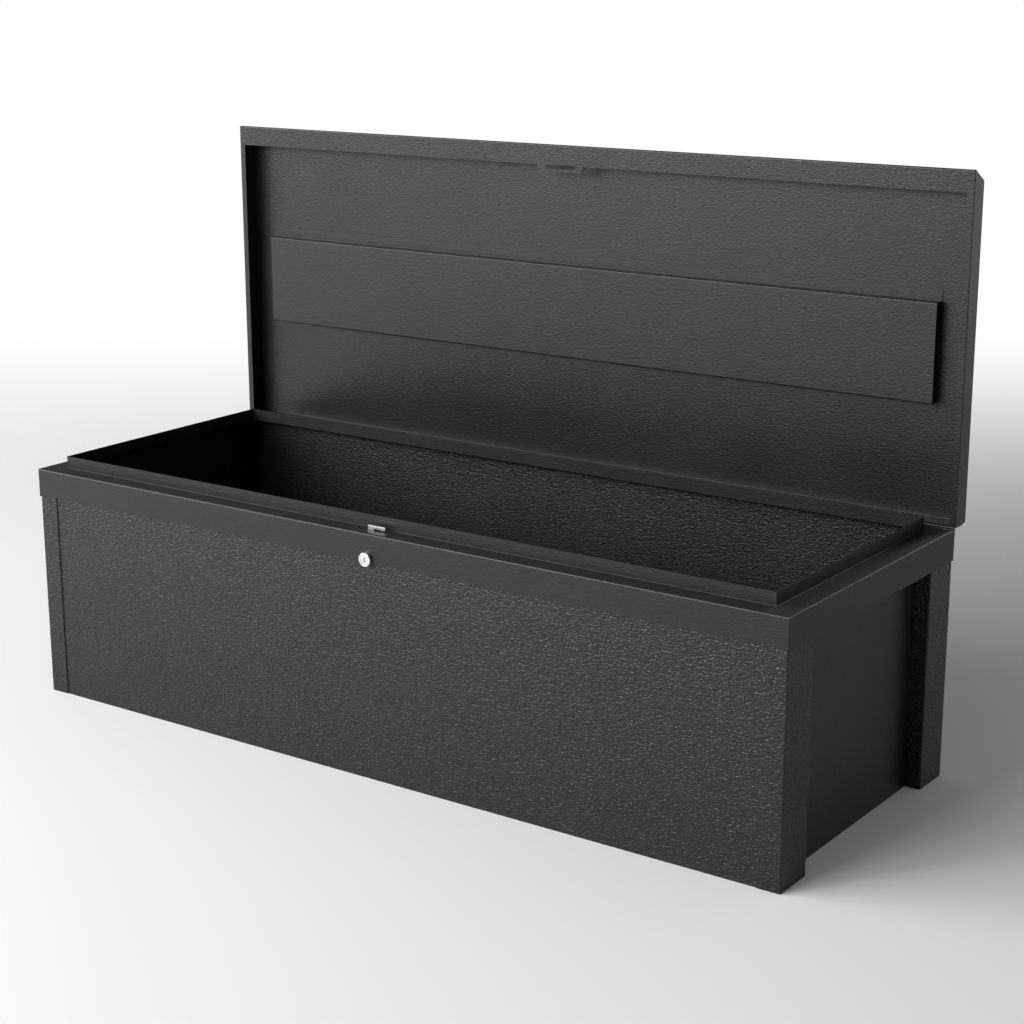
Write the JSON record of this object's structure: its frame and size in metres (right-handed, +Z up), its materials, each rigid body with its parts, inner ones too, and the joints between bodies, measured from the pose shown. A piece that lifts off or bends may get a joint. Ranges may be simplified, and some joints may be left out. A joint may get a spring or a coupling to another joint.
{
  "type": "steel storage chest",
  "caption": "Black steel storage chest with corner posts, a raised rim, a full-width hinged lid standing open and a key lock with a sliding hook.",
  "frame": {"origin": "on the floor, under the middle of the body's rim", "axes": "+X along the chest to its right end, +Y to the back, +Z up"},
  "size_m": [1.2, 0.4786, 0.7842],
  "materials": {
    "black_powder_coat": "fine textured, satin",
    "lock_chrome": "polished",
    "zinc_steel": "bright zinc plated"
  },
  "bodies": {
    "chest": {"front_panel": "black_powder_coat", "back_panel": "black_powder_coat", "left_end_panel": "black_powder_coat", "right_end_panel": "black_powder_coat", "floor_panel": "black_powder_coat", "front_left_post": "black_powder_coat", "front_right_post": "black_powder_coat", "rear_left_post": "black_powder_coat", "rear_right_post": "black_powder_coat", "front_rim_rail": "black_powder_coat", "rear_rim_rail": "black_powder_coat", "left_rim_rail": "black_powder_coat", "right_rim_rail": "black_powder_coat", "hinge_body_leaf": "black_powder_coat", "hinge_pin": "zinc_steel", "hinge_body_rivets": "black_powder_coat", "lid_stops": "black_powder_coat", "lid_stop_rivets": "black_powder_coat", "lock_housing": "lock_chrome", "lock_nut": "zinc_steel", "latch_guide": "zinc_steel", "latch_studs": "zinc_steel"},
    "lid": {"lid_shell": "black_powder_coat", "lid_left_end": "black_powder_coat", "lid_right_end": "black_powder_coat", "lid_stiffener": "black_powder_coat", "hinge_lid_leaf": "black_powder_coat", "hinge_lid_rivets": "black_powder_coat"},
    "lock_core": {"lock_plug": "lock_chrome", "lock_crank": "zinc_steel", "crank_screw": "zinc_steel"},
    "latch": {"latch_hook": "lock_chrome"}
  },
  "joints": [
    {"name": "lid_hinge", "type": "hinge", "parent": "chest", "child": "lid", "pos_m": [0, 0.2208, 0.3304], "axis": [1, 0, 0], "range_deg": [0, 90]},
    {"name": "lock_turn", "type": "hinge", "parent": "chest", "child": "lock_core", "pos_m": [0, -0.22, 0.299], "axis": [0, 1, 0], "range_deg": [0, 90]},
    {"name": "latch_slide", "type": "slide", "parent": "chest", "child": "latch", "axis": [1, 0, 0], "range_m": [0, 0.009]}
  ],
  "couplings": [
    {"joint": "lock_turn", "follows": "latch_slide", "rad_per_m": 174.53}
  ]
}
